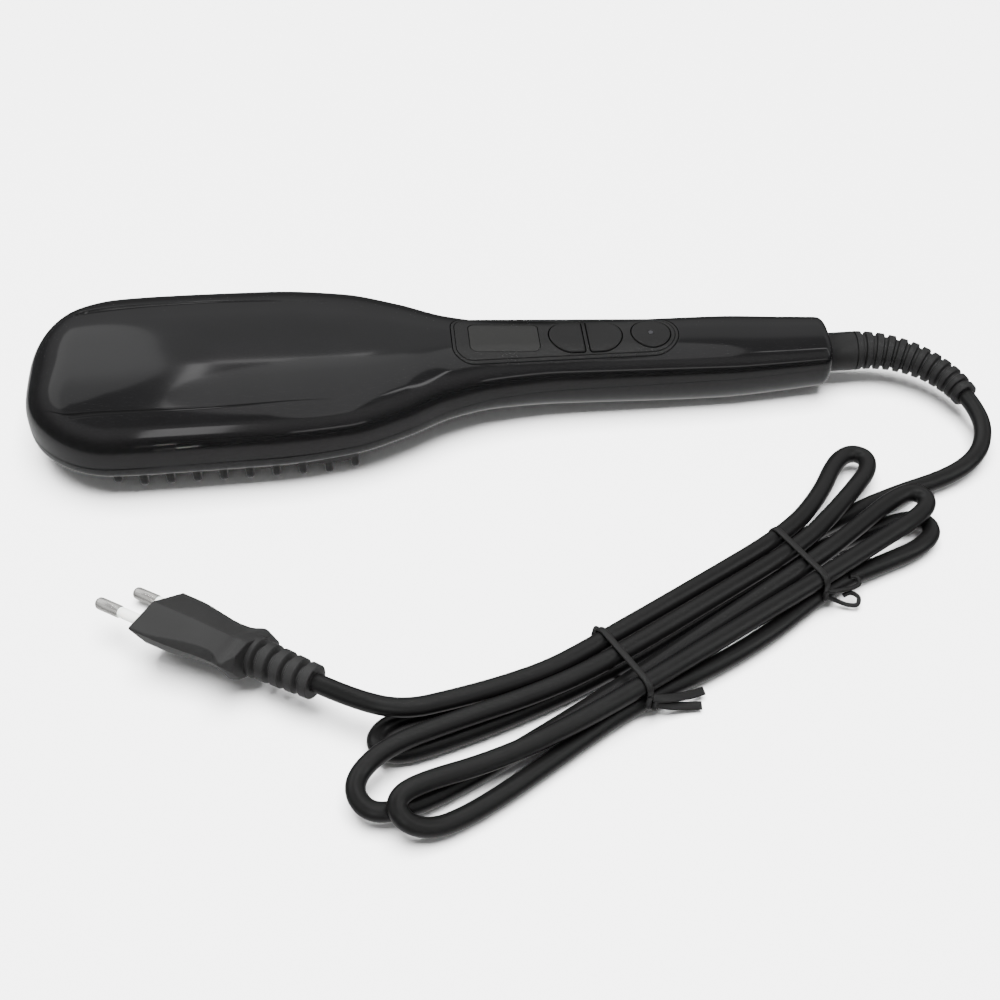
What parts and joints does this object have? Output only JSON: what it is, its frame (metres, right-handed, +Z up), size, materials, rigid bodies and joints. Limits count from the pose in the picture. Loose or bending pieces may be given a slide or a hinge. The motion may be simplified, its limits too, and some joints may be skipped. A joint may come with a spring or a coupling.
{
  "type": "heated straightening brush",
  "caption": "Black heated hair straightening brush with a display window, push buttons, a swivel ribbed strain relief and a tied mains cord ending in a flat plug with round pins.",
  "frame": {"origin": "bottom centre of the brush's bounding box without its cord, on the floor", "axes": "+X along the handle towards the cord, +Y across to the far side, +Z up from the bristle tips to the glossy cover"},
  "size_m": [0.3321, 0.2219, 0.0365],
  "materials": {
    "gloss_black": "smooth",
    "matte_black": "satin",
    "panel_black": "satin",
    "display_glass": "smooth",
    "button_black": "satin",
    "light_lens": "smooth",
    "black_coat": "satin",
    "tip_nylon": "satin",
    "ceramic": "matte",
    "mica": "satin",
    "silicone": "matte",
    "steel": "satin",
    "sensor_glass": "smooth",
    "aluminium_can": "satin",
    "board_green": "satin",
    "part_plastic": "satin",
    "wire_sleeve": "satin",
    "brass": "satin",
    "soft_black": "satin",
    "cord_black": "satin",
    "tie_black": "satin",
    "pin_nickel": "smooth",
    "pin_sleeve": "satin"
  },
  "bodies": {
    "body": {"top_cover": "gloss_black", "bottom_housing": "matte_black", "bristle_frame": "matte_black", "guard_posts": "matte_black", "plug_body": "matte_black", "control_panel": "panel_black", "display_window": "display_glass", "indicator_lamp": "light_lens", "heating_plate": "black_coat", "plate_teeth": "black_coat", "bristle_tips": "tip_nylon", "ceramic_heaters": "ceramic", "varistor": "ceramic", "insulation_sheet": "mica", "pressure_pad": "silicone", "clamp_bar": "steel", "frame_screws": "steel", "case_screws": "steel", "board_screws": "steel", "temperature_sensor": "sensor_glass", "thermal_fuse": "aluminium_can", "circuit_board": "board_green", "switch_bodies": "part_plastic", "display_module": "part_plastic", "controller_chip": "part_plastic", "power_triac": "part_plastic", "mains_capacitor": "part_plastic", "heater_terminal": "part_plastic", "mains_terminal": "part_plastic", "contact_block": "part_plastic", "heater_leads": "wire_sleeve", "sensor_leads": "wire_sleeve", "mains_wires": "wire_sleeve", "contact_springs": "brass", "strain_relief": "soft_black", "cord_lead": "cord_black", "cord_hank": "cord_black", "cord_tail": "cord_black", "left_tie": "tie_black", "right_tie": "tie_black", "plug_pins": "pin_nickel", "plug_pin_sleeves": "pin_sleeve"},
    "minus": {"minus_button": "button_black", "minus_switch_plunger": "part_plastic"},
    "plus": {"plus_button": "button_black", "plus_switch_plunger": "part_plastic"},
    "power": {"power_button": "button_black", "power_lens": "light_lens", "power_switch_plunger": "part_plastic"},
    "swivel": {"swivel_barrel": "matte_black", "slip_rings": "brass"}
  },
  "joints": [
    {"name": "minus_press", "type": "slide", "parent": "body", "child": "minus", "axis": [0, 0, -1], "range_m": [0, 0.0005], "stiffness_N_per_m": 400},
    {"name": "plus_press", "type": "slide", "parent": "body", "child": "plus", "axis": [0, 0, -1], "range_m": [0, 0.0005], "stiffness_N_per_m": 400},
    {"name": "power_press", "type": "slide", "parent": "body", "child": "power", "axis": [0, 0, -1], "range_m": [0, 0.0005], "stiffness_N_per_m": 400},
    {"name": "cord_swivel", "type": "hinge", "parent": "body", "child": "swivel", "pos_m": [0.13575, 0, 0.01275], "axis": [1, 0, 0], "continuous": true}
  ]
}
